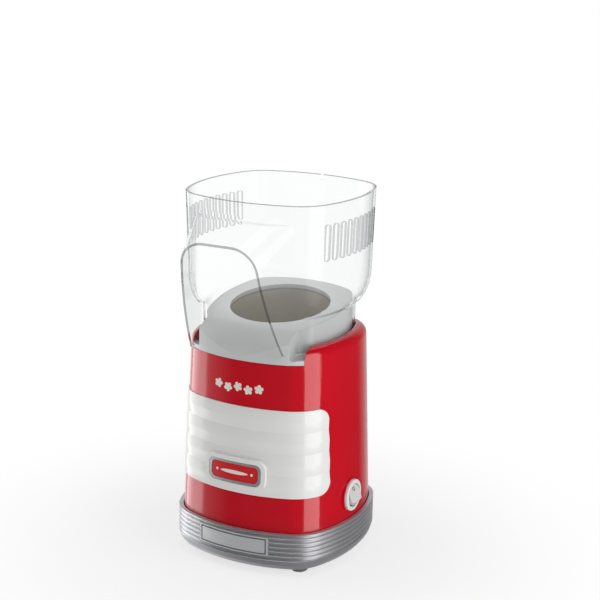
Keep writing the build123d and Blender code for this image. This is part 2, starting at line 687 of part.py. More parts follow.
def hood_section(y, shape, inset):
    """Arch across the hood at depth y: half widths at foot and shoulder, top height and corner radius."""
    foot_half, shoulder_half, top, radius = shape
    foot_half, shoulder_half, top = foot_half - inset, shoulder_half - inset, top - inset
    bottom = NOTCH_HEIGHT - 10
    outline = Polyline(
        (-foot_half, bottom), (-shoulder_half, top), (shoulder_half, top), (foot_half, bottom), close=True
    )
    face = make_face(outline)
    face = fillet(face.vertices().group_by(Axis.Y)[-1], radius - inset)
    return Plane(origin=(0, y, 0), x_dir=(1, 0, 0), z_dir=(0, -1, 0)) * face


def hood_volume(inset):
    back = hood_section(HOOD_BACK_Y, HOOD_BACK, inset)
    front = hood_section(HOOD_FRONT_Y - 12, front_ahead(), inset)
    return stack(back, front)


def front_ahead():
    """The hood's arch carried on straight past its front edge."""
    reach = (HOOD_FRONT_Y - 12 - HOOD_BACK_Y) / (HOOD_FRONT_Y - HOOD_BACK_Y)
    return tuple(b + (f - b) * reach for b, f in zip(HOOD_BACK, HOOD_FRONT))


def hood_side_view():
    """The hood's outline seen from the side: a bowed front edge over the chute's lip."""
    foot = (HOOD_FOOT_Y, HOOD_BOTTOM)
    peak = (HOOD_FRONT_Y, HOOD_FRONT[2] - 2.5)
    belly = ((foot[0] + peak[0]) / 2 - HOOD_BULGE, (foot[1] + peak[1]) / 2 - HOOD_BELLY_DROP)
    front = ThreePointArc(foot, belly, peak).edge()
    rest = Polyline(peak, (HOOD_FRONT_Y, FAR), (0, FAR), (0, HOOD_BOTTOM), foot).edges()
    return extrude(Plane.YZ * make_face(Wire([front, *rest])), amount=FAR, both=True)


def drum_volume(inset, bottom):
    """Straight neck, rounded flare and tapered drum, one outline above another."""
    sections = [drum_plan(bottom, NECK_HALF, inset)]
    for step in range(FLARE_STEPS + 1):
        angle = math.radians(90 * step / FLARE_STEPS)
        half = NECK_HALF + (DRUM_BOTTOM_HALF - NECK_HALF) * math.sin(angle)
        z = DRUM_BOTTOM - (DRUM_BOTTOM - NECK_TOP) * math.cos(angle)
        sections.append(drum_plan(z, half, inset))
    sections.append(drum_plan(RIM_HEIGHT, RIM_HALF, inset))
    return stack(*sections)


def clear_cover():
    """Open hopper with vents in both sides, a neck that stands on the tray's flange and a spout hood."""
    seat = TRAY_FLANGE_BOTTOM + TRAY_FLANGE_THICKNESS + COVER_SEAT_GAP
    hopper = drum_volume(0, seat)
    hood = hood_volume(0) & hood_side_view()
    body = hopper + hood
    body -= drum_volume(COVER_WALL, seat)
    body -= hood_volume(COVER_WALL) & block((-FAR, FAR), (-FRONT_CUT, HOOD_BACK_Y - 1), (0, RIM_HEIGHT - 15))
    body &= block((-FAR, FAR), (-FAR, FAR), (0, RIM_HEIGHT))
    body -= prism(neck_plan(0, TRAY_HALF + 2 * FIT_GAP), tray_height(TRAY_HALF))
    body -= prism(neck_plan(0, TRAY_FLANGE_HALF + FIT_GAP), seat)
    middle = (VENT_BOTTOM + VENT_TOP) / 2
    for vent in range(VENT_COUNT):
        y = (vent - (VENT_COUNT - 1) / 2) * VENT_PITCH
        outline = Plane.YZ * (Pos(y, middle) * Rot(0, 0, 90) * SlotOverall(VENT_LENGTH, VENT_WIDTH))
        body -= extrude(outline, amount=FAR, both=True)
    width, depth = RIM_NOTCH
    return body - block((-width / 2, width / 2), (0, FAR), (RIM_HEIGHT - depth, FAR))


# Cord gland

def cord_gland():
    """Rubber bush in the back wall, with an open bore for the mains lead."""
    wall_y = housing_back(GLAND_Z)
    bush = along_y(GLAND_RADIUS, wall_y - 6, wall_y + 4, 0, GLAND_Z)
    bush += along_y(GLAND_FLANGE_RADIUS, wall_y + 0.6, wall_y + 4, 0, GLAND_Z)
    return bush - along_y(GLAND_BORE, 0, FAR, 0, GLAND_Z)


def housing_back(z):
    share = (z - LEDGE_HEIGHT) / (HOUSING_SHOULDER - LEDGE_HEIGHT)
    return HOUSING_BOTTOM_HALF + (HOUSING_TOP_HALF - HOUSING_BOTTOM_HALF) * share


def write(name, shape):
    """Save one node, moved so that the origin is under the middle of the whole object."""
    items = shape if isinstance(shape, list) else [shape]
    solids = [Pos(0, FRAME_SHIFT_Y, 0) * solid for item in items for solid in item.solids()]
    node = solids[0] if len(solids) == 1 else Compound(children=solids)
    export_step(node, f"parts/{name}.step")
    print(name, len(solids), round(sum(solid.volume for solid in solids)))


def main():
    os.makedirs("parts", exist_ok=True)
    pieces = {
        "base_shell": base_shell,
        "bottom_plate": bottom_plate,
        "base_screws": base_screws,
        "name_plate": name_plate,
        "housing": housing,
        "band_panel": band_panel,
        "badge_frame": badge_frame,
        "badge_insert": badge_insert,
        "switch_bezel": switch_bezel,
        "switch_body": switch_body,
        "switch_rocker": switch_rocker,
        "rocker_pin": rocker_pin,
        "switch_terminals": switch_terminals,
        "tray": tray,
        "chamber_gasket": chamber_gasket,
        "popping_chamber": popping_chamber,
        "heater_can": heater_can,
        "mica_board_lower": lambda: mica_board(True),
        "mica_board_upper": lambda: mica_board(False),
        "heating_coil": heating_coil,
        "thermostat": thermostat,
        "thermal_fuse": thermal_fuse,
        "fan_housing": fan_housing,
        "motor": motor,
        "motor_screws": motor_screws,
        "rectifier_board": rectifier_board,
        "motor_shaft": motor_shaft,
        "fan_impeller": fan_impeller,
        "clear_cover": clear_cover,
        "cord_gland": cord_gland,
    }
    names = ("foot_back_left", "foot_front_left", "foot_back_right", "foot_front_right")
    spots = [(x, y) for x in (-FOOT_SPREAD, FOOT_SPREAD) for y in (FOOT_SPREAD, -FOOT_SPREAD)]
    for name, make in pieces.items():
        write(name, make())
    for name, (x, y) in zip(names, spots):
        write(name, foot(x, y))


main()
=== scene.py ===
# %% [markdown]
# # A hot-air popcorn maker
# The solid model comes in as a fixed frame in metres: +Z is up and the spout faces -Y. This lesson gives
# each piece its finish, adds the small printed and raised details, and sets up a plain white studio.

# %% Load the frame
import json
import math

import bmesh
import bpy
from mathutils import Matrix, Vector


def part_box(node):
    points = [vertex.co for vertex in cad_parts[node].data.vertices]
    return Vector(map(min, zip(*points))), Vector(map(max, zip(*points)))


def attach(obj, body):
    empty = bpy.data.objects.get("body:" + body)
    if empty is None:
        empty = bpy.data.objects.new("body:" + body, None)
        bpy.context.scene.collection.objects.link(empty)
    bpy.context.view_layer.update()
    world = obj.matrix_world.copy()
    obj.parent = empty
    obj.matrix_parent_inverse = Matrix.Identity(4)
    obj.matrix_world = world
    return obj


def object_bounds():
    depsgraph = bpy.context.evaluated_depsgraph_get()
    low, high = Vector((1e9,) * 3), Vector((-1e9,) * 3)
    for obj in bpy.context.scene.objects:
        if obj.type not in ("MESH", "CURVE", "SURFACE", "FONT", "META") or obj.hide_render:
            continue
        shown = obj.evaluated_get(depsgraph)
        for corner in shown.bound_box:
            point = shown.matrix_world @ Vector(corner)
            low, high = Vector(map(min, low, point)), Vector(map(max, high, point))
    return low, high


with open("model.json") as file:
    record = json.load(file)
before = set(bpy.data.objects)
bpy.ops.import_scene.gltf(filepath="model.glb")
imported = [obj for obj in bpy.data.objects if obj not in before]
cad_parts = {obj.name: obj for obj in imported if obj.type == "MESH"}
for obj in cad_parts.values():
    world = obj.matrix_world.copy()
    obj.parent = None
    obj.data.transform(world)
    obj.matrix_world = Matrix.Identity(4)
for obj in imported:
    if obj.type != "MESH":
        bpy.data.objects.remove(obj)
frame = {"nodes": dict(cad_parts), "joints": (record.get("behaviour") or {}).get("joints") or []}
cad_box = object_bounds()
nodes = frame["nodes"]
MM = 0.001
low, high = (Vector(corner) for corner in cad_box)
print("pieces:", len(nodes), "box in mm:", [round(v / MM, 1) for v in high - low])

# %% [markdown]
# ## Helpers for shader nodes
# A material is a graph of nodes. Each node could be added and joined by hand, line by line, but the same
# few moves come back in every finish. These helpers do one move each, so that a finish below reads like a
# recipe. A fixed value is set straight on its socket, which keeps the graph short.

# %% Helpers for node graphs


def feed_socket(tree, socket, value):
    """Joins another node's output to a socket, or sets a plain value on it."""
    if isinstance(value, bpy.types.NodeSocket):
        tree.links.new(value, socket)
    else:
        socket.default_value = value


def feed(tree, node, **values):
    """Feeds a node's inputs by name; an underscore in a name stands for a space."""
    for name, value in values.items():
        feed_socket(tree, node.inputs[name.replace("_", " ")], value)


def add_node(tree, kind, **values):
    node = tree.nodes.new(kind)
    feed(tree, node, **values)
    return node


def calculate(tree, operation, *values, kind="ShaderNodeMath"):
    """The result of a Math node, or of a Vector Math node that gives one number."""
    node = tree.nodes.new(kind)
    node.operation = operation
    for socket, value in zip(node.inputs, values):
        feed_socket(tree, socket, value)
    return node.outputs["Value"]


def remap(tree, value, old, new=(0.0, 1.0)):
    """A Map Range node that turns one range of a value into another."""
    return add_node(tree, "ShaderNodeMapRange", Value=value, From_Min=old[0], From_Max=old[1],
                    To_Min=new[0], To_Max=new[1])


def mix_colours(tree, share, first, second):
    node = tree.nodes.new("ShaderNodeMix")
    node.data_type = "RGBA"
    feed(tree, node, Factor=share, A=(*first, 1), B=(*second, 1))
    return node.outputs["Result"]


print("node helpers ready")

# %% [markdown]
# ## Helpers for groups and finishes
# Many surfaces share one effect, such as a faint waviness. It could be copied into each material, but a
# node group is made once and used everywhere with its own values. A group gives out only heights,
# roughnesses and masks. The Principled shader stays in each material, where the export can read it.

# %% Helpers for groups and materials


def new_group(name, inputs, outputs):
    """A node group with its input and output nodes; an input's first value also gives its kind."""
    group = bpy.data.node_groups.new(name, "ShaderNodeTree")
    for label, value in inputs.items():
        kind = "NodeSocketVector" if isinstance(value, tuple) else "NodeSocketFloat"
        group.interface.new_socket(label, in_out="INPUT", socket_type=kind).default_value = value
    for label in outputs:
        group.interface.new_socket(label, in_out="OUTPUT", socket_type="NodeSocketFloat")
    return group, group.nodes.new("NodeGroupInput").outputs, group.nodes.new("NodeGroupOutput")


def add_group(tree, group, **values):
    node = tree.nodes.new("ShaderNodeGroup")
    node.node_tree = group
    feed(tree, node, **values)
    return node


def new_finish(name):
    """A new material, with its node tree and its Principled shader."""
    material = bpy.data.materials.new(name)
    material.use_nodes = True
    tree = material.node_tree
    return material, tree, tree.nodes["Principled BSDF"]


def dress(tree, shader, group, colours, bump, depth):
    """Joins a group's tint, roughness and height to a shader."""
    relief = add_node(tree, "ShaderNodeBump", Strength=bump, Distance=depth, Height=group.outputs["Height"])
    feed(tree, shader, Base_Color=mix_colours(tree, group.outputs["Tint"], *colours),
         Roughness=group.outputs["Roughness"], Normal=relief.outputs["Normal"])


print("group helpers ready")

# %% [markdown]
# ## A shared group: the moulded skin
# Moulded plastic is never optically flat. A faint, broad waviness bends its reflections, and handling
# leaves it a little duller in patches. Real dents in the mesh would cost many faces, so a bump from two
# noises gives the waviness and the grain, and a third, slow noise gives the patches. Every plastic here
# uses this group.

# %% Node group for moulded plastic
NOISE_RANGE = (0.3, 0.7)
PATCH_SCALE = 14.0


def make_moulded_skin():
    inputs = {"Wave Scale": 60.0, "Grain Scale": 900.0, "Grain Share": 0.3,
              "Gloss Low": 0.1, "Gloss High": 0.2}
    group, start, end = new_group("Moulded Skin", inputs, ("Height", "Roughness", "Tint"))
    place = group.nodes.new("ShaderNodeTexCoord").outputs["Object"]
    wave = add_node(group, "ShaderNodeTexNoise", Vector=place, Scale=start["Wave Scale"], Detail=1.0)
    grain = add_node(group, "ShaderNodeTexNoise", Vector=place, Scale=start["Grain Scale"], Detail=3.0)
    patch = add_node(group, "ShaderNodeTexNoise", Vector=place, Scale=PATCH_SCALE, Detail=4.0,
                     Roughness=0.6)
    height = add_node(group, "ShaderNodeMix", Factor=start["Grain Share"], A=wave.outputs["Fac"],
                      B=grain.outputs["Fac"])
    gloss = remap(group, patch.outputs["Fac"], NOISE_RANGE, (start["Gloss Low"], start["Gloss High"]))
    feed(group, end, Height=height.outputs["Result"], Roughness=gloss.outputs["Result"],
         Tint=patch.outputs["Fac"])
    return group


moulded_skin = make_moulded_skin()
print("group:", moulded_skin.name)

# %% [markdown]
# ## A shared group: drawn or brushed metal
# Rolled and brushed metal carries fine lines that run one way. They could be painted as an image, but
# noise that is stretched along one axis gives them at any size. The same noise is the bump's height, the
# mask that tints the colour and, through a range, the roughness.

# %% Node group for lined metal


def make_metal_lines():
    inputs = {"Stretch": (20.0, 900.0, 900.0), "Gloss Low": 0.2, "Gloss High": 0.4}
    group, start, end = new_group("Metal Lines", inputs, ("Height", "Roughness", "Tint"))
    place = group.nodes.new("ShaderNodeTexCoord").outputs["Object"]
    pull = add_node(group, "ShaderNodeMapping", Vector=place, Scale=start["Stretch"])
    noise = add_node(group, "ShaderNodeTexNoise", Vector=pull.outputs["Vector"], Scale=1.0, Detail=4.0,
                     Roughness=0.6)
    lines = noise.outputs["Fac"]
    gloss = remap(group, lines, NOISE_RANGE, (start["Gloss Low"], start["Gloss High"]))
    feed(group, end, Height=lines, Roughness=gloss.outputs["Result"], Tint=lines)
    return group


metal_lines = make_metal_lines()
print("group:", metal_lines.name)

# %% [markdown]
# ## Plastic finishes
# The housing, band, base and tray are moulded plastics, some glossy and some painted. One function makes
# them all, because they differ only in values: two close colours that mix in faint patches, a range of
# roughness and a bump. The glossiest also get a clear coat, which gives the crisp reflections of the
# lamps.

# %% A function for plastics
PLASTIC_RELIEF = 0.4 * MM


def plastic(name, colour, other, gloss, bump, wave=60.0, grain=900.0, grain_share=0.3, **shader_values):
    material, tree, shader = new_finish(name)
    skin = add_group(tree, moulded_skin, Wave_Scale=wave, Grain_Scale=grain, Grain_Share=grain_share,
                     Gloss_Low=gloss[0], Gloss_High=gloss[1])
    dress(tree, shader, skin, (colour, other), bump, PLASTIC_RELIEF)
    feed(tree, shader, **shader_values)
    return material


print("relief of a plastic in mm:", PLASTIC_RELIEF / MM)

# %% [markdown]
# ## Plastics that show
# From the front one sees red, white, silver and grey plastic, an enamel badge and two prints. Colours
# could be picked on their own, but here they were set under the lamps below, against the photograph. The
# two colours of a finish stay close, because a wide mix would look stained.

# %% Make the plastics that show
red_gloss = plastic("red gloss plastic", (0.54, 0.001, 0.010), (0.60, 0.003, 0.015),
                    gloss=(0.10, 0.18), bump=0.05, Coat_Weight=0.35, Coat_Roughness=0.06)
white_gloss = plastic("white gloss plastic", (0.74, 0.74, 0.74), (0.78, 0.78, 0.78),
                      gloss=(0.20, 0.32), bump=0.06)
silver_paint = plastic("silver painted plastic", (0.46, 0.46, 0.48), (0.56, 0.56, 0.58),
                       gloss=(0.26, 0.40), bump=0.10, grain=2400.0, grain_share=0.7, Metallic=0.65)
band_white = plastic("white fluted plastic", (0.80, 0.80, 0.79), (0.84, 0.84, 0.83),
                     gloss=(0.16, 0.24), bump=0.04, Coat_Weight=0.3, Coat_Roughness=0.05)
tray_grey = plastic("light grey tray plastic", (0.58, 0.59, 0.59), (0.64, 0.65, 0.65),
                    gloss=(0.32, 0.45), bump=0.10)
rocker_grey = plastic("pale rocker plastic", (0.66, 0.66, 0.65), (0.70, 0.70, 0.69),
                      gloss=(0.25, 0.35), bump=0.08)
badge_red = plastic("badge enamel", (0.60, 0.014, 0.018), (0.68, 0.020, 0.024),
                    gloss=(0.12, 0.2), bump=0.04, Coat_Weight=0.8, Coat_Roughness=0.05)
cream_print = plastic("cream print", (0.78, 0.74, 0.66), (0.82, 0.79, 0.72), gloss=(0.3, 0.4), bump=0.05)
mark_ink = plastic("grey mark ink", (0.10, 0.10, 0.11), (0.14, 0.14, 0.15), gloss=(0.4, 0.5), bump=0.05)
print("plastics that show are ready")

# %% [markdown]
# ## Plastics inside and below
# Under the base and inside the housing are matt plastics, rubbers and boards. They hardly show, so one
# plain grey might do, but the cover lifts off and the object can be turned over. A stronger grain and a
# higher roughness set them apart from the glossy shells.

# %% Make the plastics inside and below
black_matt = plastic("black matt plastic", (0.016, 0.016, 0.018), (0.026, 0.026, 0.028),
                     gloss=(0.45, 0.6), bump=0.25, grain_share=0.8)
rubber_black = plastic("black rubber", (0.020, 0.020, 0.020), (0.032, 0.032, 0.032),
                       gloss=(0.6, 0.8), bump=0.3, grain=1500.0, grain_share=0.9)
foot_grey = plastic("grey rubber", (0.13, 0.13, 0.13), (0.17, 0.17, 0.17),
                    gloss=(0.6, 0.8), bump=0.3, grain=1500.0, grain_share=0.9)
gasket_grey = plastic("grey silicone", (0.34, 0.34, 0.33), (0.40, 0.40, 0.39), gloss=(0.5, 0.7), bump=0.2)
mica_pale = plastic("mica board", (0.55, 0.48, 0.35), (0.68, 0.62, 0.48),
                    gloss=(0.35, 0.6), bump=0.3, wave=240.0)
board_green = plastic("circuit board", (0.02, 0.12, 0.04), (0.03, 0.17, 0.06), gloss=(0.3, 0.45), bump=0.1)
print("plastics inside and below are ready")

# %% [markdown]
# ## The band's flutes
# The white band is moulded in four shallow flutes. The solid has their broad shape, and more depth there
# would thin its wall. A soft wave along Z in the bump deepens them to the eye instead, so that each flute
# catches its own small highlight from the lamps.

# %% Deepen the flutes
FLUTE_PITCH = 17.75 * MM
FLUTE_START = 65.0 * MM
FLUTE_DEPTH = 0.9 * MM


def add_flutes(material):
    tree = material.node_tree
    place = tree.nodes.new("ShaderNodeTexCoord").outputs["Object"]
    split = add_node(tree, "ShaderNodeSeparateXYZ", Vector=place)
    phase = remap(tree, split.outputs["Z"], (FLUTE_START, FLUTE_START + FLUTE_PITCH), (0.0, math.pi))
    phase.clamp = False
    height = calculate(tree, "ABSOLUTE", calculate(tree, "SINE", phase.outputs["Result"]))
    fine = next(node for node in tree.nodes if node.type == "BUMP")
    flutes = add_node(tree, "ShaderNodeBump", Strength=1.0, Distance=FLUTE_DEPTH, Height=height)
    feed(tree, fine, Normal=flutes.outputs["Normal"])


add_flutes(band_white)
print("flute pitch in mm:", FLUTE_PITCH / MM)

# %% [markdown]
# ## Metal finishes
# The badge's frame, the plate, the popping chamber and the parts inside are metal. All share the lined
# group: the stretch says which way the lines run, and the two colours how far they stand out. Some are
# set less than fully metallic, because a full mirror would show the room's dim front and look too dark.

# %% Make the metals
METAL_RELIEF = 0.3 * MM


def metal(name, dark, light, stretch, gloss, bump, metallic=1.0):
    material, tree, shader = new_finish(name)
    lines = add_group(tree, metal_lines, Stretch=stretch, Gloss_Low=gloss[0], Gloss_High=gloss[1])
    dress(tree, shader, lines, (dark, light), bump, METAL_RELIEF)
    feed(tree, shader, Metallic=metallic)
    return material


chrome = metal("satin chrome", (0.74, 0.74, 0.76), (0.84, 0.84, 0.86),
               stretch=(90.0, 90.0, 90.0), gloss=(0.16, 0.26), bump=0.03, metallic=0.7)
plate_metal = metal("brushed plate", (0.62, 0.63, 0.64), (0.76, 0.77, 0.78),
                    stretch=(30.0, 1500.0, 1500.0), gloss=(0.3, 0.45), bump=0.1, metallic=0.35)
steel = metal("plated steel", (0.45, 0.45, 0.46), (0.60, 0.60, 0.61),
              stretch=(400.0, 400.0, 60.0), gloss=(0.25, 0.42), bump=0.1)
aluminium = metal("drawn aluminium", (0.56, 0.54, 0.49), (0.70, 0.68, 0.62),
                  stretch=(60.0, 60.0, 900.0), gloss=(0.34, 0.5), bump=0.12, metallic=0.5)
brass = metal("brass", (0.55, 0.38, 0.14), (0.70, 0.52, 0.22),
              stretch=(200.0, 200.0, 200.0), gloss=(0.2, 0.35), bump=0.05)
heater_wire = metal("oxidised wire", (0.20, 0.17, 0.15), (0.36, 0.32, 0.28),
                    stretch=(500.0, 500.0, 500.0), gloss=(0.4, 0.6), bump=0.1)
print("metals ready")

# %% [markdown]
# ## The painted shade on the cut edges of the clear cover
# Clear plastic shows itself by its edges: the rim, the slots and the mouth of the spout draw thin grey
# lines. A high refractive index would draw them too, but with black and white noise on a wall this thin.
# A mask is calmer: this group picks out the edges by their place on the cover and by the way they face.
# The clear finish paints these lines grey as painted shade, in place of the lines that refraction draws.

# %% Node group for the painted edge shade
RIM_TOP = 297.6 * MM
SLOT_RANGE = (253.0 * MM, 283.0 * MM)
SLOT_WALL_X = 60.0 * MM
SLOT_FACING = 0.4
SLOT_SHARE = 0.7
MOUTH_Y = -58.5 * MM
MOUTH_FACING = -0.75


def combine(tree, operation, first, *others):
    """Folds several values into one, by product or by the largest."""
    for value in others:
        first = calculate(tree, operation, first, value)
    return first


# The mask marks the rim, slots and mouth, where the clear finish paints grey shade in place of refracted
# lines.
def make_edge_shade_mask():
    group, _, end = new_group("Edge Shade Mask", {}, ("Edge",))
    place = group.nodes.new("ShaderNodeTexCoord").outputs
    spot = add_node(group, "ShaderNodeSeparateXYZ", Vector=place["Object"]).outputs
    facing = add_node(group, "ShaderNodeSeparateXYZ", Vector=place["Normal"]).outputs
    rim = calculate(group, "GREATER_THAN", spot["Z"], RIM_TOP)
    slot = combine(group, "MULTIPLY",
                   calculate(group, "GREATER_THAN", spot["Z"], SLOT_RANGE[0]),
                   calculate(group, "LESS_THAN", spot["Z"], SLOT_RANGE[1]),
                   calculate(group, "GREATER_THAN", calculate(group, "ABSOLUTE", spot["X"]), SLOT_WALL_X),
                   calculate(group, "LESS_THAN", calculate(group, "ABSOLUTE", facing["X"]), SLOT_FACING),
                   SLOT_SHARE)
    mouth = combine(group, "MULTIPLY",
                    calculate(group, "LESS_THAN", spot["Y"], MOUTH_Y),
                    calculate(group, "LESS_THAN", facing["Y"], MOUTH_FACING))
    feed(group, end, Edge=combine(group, "MAXIMUM", rim, slot, mouth))
    return group


edge_shade_mask = make_edge_shade_mask()
print("group:", edge_shade_mask.name)

# %% [markdown]
# ## The clear plastic
# The hopper and the spout's hood are one clear moulding. A real index of about 1.5 bends the view through
# both faces of each wall, which is noisy here. So the index is low, a coat gives the reflections, and the
# colour turns grey on the cut edges and where a wall turns away from the eye, which Layer Weight tells.
# This grey is painted shade, in place of the dark lines that refraction and reflection draw there.

# %% Make the clear plastic
CLEAR = (0.982, 0.985, 0.987)
# Grey of the painted shade on the cut edges and on walls turned away from the eye.
PAINTED_EDGE_SHADE = (0.24, 0.245, 0.25)
CLEAR_GLOSS = (0.0, 0.03)
LOW_INDEX = 1.02
TURNED_AWAY = (0.62, 0.96)
TURNED_SHARE = 0.8


def clear_plastic():
    material, tree, shader = new_finish("clear plastic")
    skin = add_group(tree, moulded_skin, Gloss_Low=CLEAR_GLOSS[0], Gloss_High=CLEAR_GLOSS[1])
    edges = add_group(tree, edge_shade_mask)
    view = add_node(tree, "ShaderNodeLayerWeight", Blend=0.5)
    turned = remap(tree, view.outputs["Facing"], TURNED_AWAY, (0.0, TURNED_SHARE))
    # Painted shade: the cover turns grey on its cut edges and at grazing walls, standing in for refracted
    # and reflected lines.
    grey = calculate(tree, "MAXIMUM", edges.outputs["Edge"], turned.outputs["Result"])
    feed(tree, shader, Base_Color=mix_colours(tree, grey, CLEAR, PAINTED_EDGE_SHADE),
         Roughness=skin.outputs["Roughness"], Transmission_Weight=1.0, IOR=LOW_INDEX,
         Coat_Weight=0.3, Coat_Roughness=0.02)
    return material


clear = clear_plastic()
print("clear plastic ready")

# %% [markdown]
# ## Putting the finishes on
# Each solid keeps its own shape and takes one finish. A finish could be chosen by clicking on each piece,
# but a table by name is easy to read through, and it shows at once if a piece has been forgotten.

# %% Give every node its finish
finishes = {
    "housing": red_gloss, "band_panel": band_white, "badge_frame": chrome, "badge_insert": badge_red,
    "base_shell": silver_paint, "name_plate": plate_metal, "bottom_plate": black_matt,
    "tray": tray_grey, "popping_chamber": aluminium, "chamber_gasket": gasket_grey, "clear_cover": clear,
    "switch_bezel": white_gloss, "switch_body": black_matt, "switch_rocker": rocker_grey,
    "rocker_pin": steel, "switch_terminals": brass, "cord_gland": rubber_black,
    "heater_can": steel, "mica_board_lower": mica_pale, "mica_board_upper": mica_pale,
    "heating_coil": heater_wire, "thermostat": black_matt, "thermal_fuse": mica_pale,
    "fan_housing": black_matt, "fan_impeller": tray_grey, "motor": steel, "motor_shaft": steel,
    "motor_screws": steel, "rectifier_board": board_green, "base_screws": steel,
}
for name in nodes:
    if name.startswith("foot_"):
        finishes[name] = foot_grey
for name, node in nodes.items():
    node.data.materials.clear()
    node.data.materials.append(finishes[name])
print("finished nodes:", len(finishes), "without a finish:", sorted(set(nodes) - set(finishes)))

# %% [markdown]
# ## Pieces laid on the curved front
# The fronts of the housing and of the base are bowed, and the housing's leans back. A print or a thin
# line could be cut from the surface, but it is easier to make it flat and lay it on: every point moves
# back by the bow's depth at its own place. The bow is an arc, so its radius and the front's place are all
# that the move needs.

# %% Helpers for laid-on pieces
HOUSING_BOW = 118 * MM
BASE_BOW = 122 * MM
HOUSING_LEAN = 5.8 / 138


def lay_on_front(mesh, front_y, bow, lean=0.0, lean_from=0.0):
    """Moves a flat mesh, made about Y = 0, on to a bowed front whose middle is at front_y."""
    for vert in mesh.verts:
        depth = bow - math.sqrt(bow**2 - vert.co.x**2)
        vert.co.y += front_y + depth + lean * (vert.co.z - lean_from)


def finish_piece(mesh, name, material, body):
    """Turns a mesh's faces outwards, makes it a smooth object and lets it ride on a body."""
    bmesh.ops.recalc_face_normals(mesh, faces=mesh.faces)
    data = bpy.data.meshes.new(name)
    mesh.to_mesh(data)
    mesh.free()
    data.shade_smooth()
    data.materials.append(material)
    piece = bpy.data.objects.new(name, data)
    bpy.context.collection.objects.link(piece)
    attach(piece, body)
    print(name, "faces:", len(data.polygons))


print("lean of the housing's front in degrees:", round(math.degrees(math.atan(HOUSING_LEAN)), 2))

# %% [markdown]
# ## The printed ornament
# A row of small puffs stands in cream on the red front, above the band. They could be a flat mask in the
# red finish, but thick screen print has a soft raised edge. So each puff is a ring of flattened balls
# round a larger one.

# %% Row of puffs
ORNAMENT_Z = 150.5 * MM
ORNAMENT_PITCH = 9.0 * MM
ORNAMENT_COUNT = 5
ORNAMENT_SWAY = 0.8 * MM
PUFF_RADIUS = 1.9 * MM
LOBE_RADIUS = 1.45 * MM
LOBE_REACH = PUFF_RADIUS + 0.35 * LOBE_RADIUS
LOBES = 5
PRINT_HEIGHT = 0.35 * MM
DOT_SEGMENTS = 20


def add_dot(mesh, x, z, radius):
    squash = Matrix.Diagonal((1.0, PRINT_HEIGHT / radius, 1.0, 1.0))
    place = Matrix.Translation((x, 0, z)) @ squash
    bmesh.ops.create_uvsphere(mesh, u_segments=DOT_SEGMENTS, v_segments=DOT_SEGMENTS // 2, radius=radius,
                              matrix=place)


def front_of_housing(z):
    """The Y of the housing's front at height z, from its box and lean."""
    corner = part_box("housing")[0]
    return corner[1] + HOUSING_LEAN * (z - corner[2])


ornament = bmesh.new()
for step in range(ORNAMENT_COUNT):
    x = (step - (ORNAMENT_COUNT - 1) / 2) * ORNAMENT_PITCH
    z = ORNAMENT_Z + (-1) ** step * ORNAMENT_SWAY
    add_dot(ornament, x, z, PUFF_RADIUS)
    for lobe in range(LOBES):
        angle = 2 * math.pi * lobe / LOBES + step
        add_dot(ornament, x + LOBE_REACH * math.cos(angle), z + LOBE_REACH * math.sin(angle), LOBE_RADIUS)
lay_on_front(ornament, front_of_housing(ORNAMENT_Z), HOUSING_BOW, HOUSING_LEAN, ORNAMENT_Z)
finish_piece(ornament, "kernel_ornament", cream_print, "body")

# %% [markdown]
# ## The badge's ornament
# The red badge carries a plain raised flash in cream. A drawn outline could be pushed out, but its edge
# would be sharp. A long flattened ball with a dot at each end has the soft edge of enamel.

# %% Badge flash
FLASH_HALF = 13 * MM
FLASH_RISE = 1.6 * MM
FLASH_DOT_GAP = 2.6 * MM
FLASH_DOT_RADIUS = 1.2 * MM
FLASH_SINK = 0.1 * MM
FLASH_SEGMENTS = 32
badge_low, badge_high = (Vector(corner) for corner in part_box("badge_insert"))
badge_z = (badge_low.z + badge_high.z) / 2
flash = bmesh.new()
flatten = Matrix.Diagonal((FLASH_HALF, PRINT_HEIGHT, FLASH_RISE, 1.0))
bmesh.ops.create_uvsphere(flash, u_segments=FLASH_SEGMENTS, v_segments=FLASH_SEGMENTS // 2, radius=1.0,
                          matrix=Matrix.Translation((0, 0, badge_z)) @ flatten)
for side in (-1, 1):
    add_dot(flash, side * (FLASH_HALF + FLASH_DOT_GAP), badge_z, FLASH_DOT_RADIUS)
lay_on_front(flash, badge_low.y + FLASH_SINK, HOUSING_BOW, HOUSING_LEAN, badge_low.z)
finish_piece(flash, "badge_flash", cream_print, "body")

# %% [markdown]
# ## The line round the name plate
# The plate on the base is bare inside a thin dark line. A curve with a round section could follow its
# edge, but a flat line is simpler: a grid is inset, its middle is taken out, and the rest is pushed out a
# little before it is laid on the bowed base. The grid has many columns, so that the line can follow the
# bow.

# %% Plate line
LINE_WIDTH = 0.9 * MM
LINE_HEIGHT = 0.25 * MM
LINE_MARGIN = 1.2 * MM
LINE_COLUMNS = 32
LINE_SINK = 0.05 * MM


def keep_border(mesh, width, even):
    """Insets a flat mesh and leaves only its border."""
    inset = bmesh.ops.inset_region(mesh, faces=mesh.faces[:], thickness=width, use_even_offset=even,
                                   use_boundary=True)
    border = set(inset["faces"])
    bmesh.ops.delete(mesh, geom=[face for face in mesh.faces if face not in border], context="FACES")


def push_out(mesh, offset):
    """Pushes a flat mesh out to a thin closed solid."""
    raised = bmesh.ops.extrude_face_region(mesh, geom=mesh.faces[:])
    moved = [item for item in raised["geom"] if isinstance(item, bmesh.types.BMVert)]
    bmesh.ops.translate(mesh, verts=moved, vec=offset)


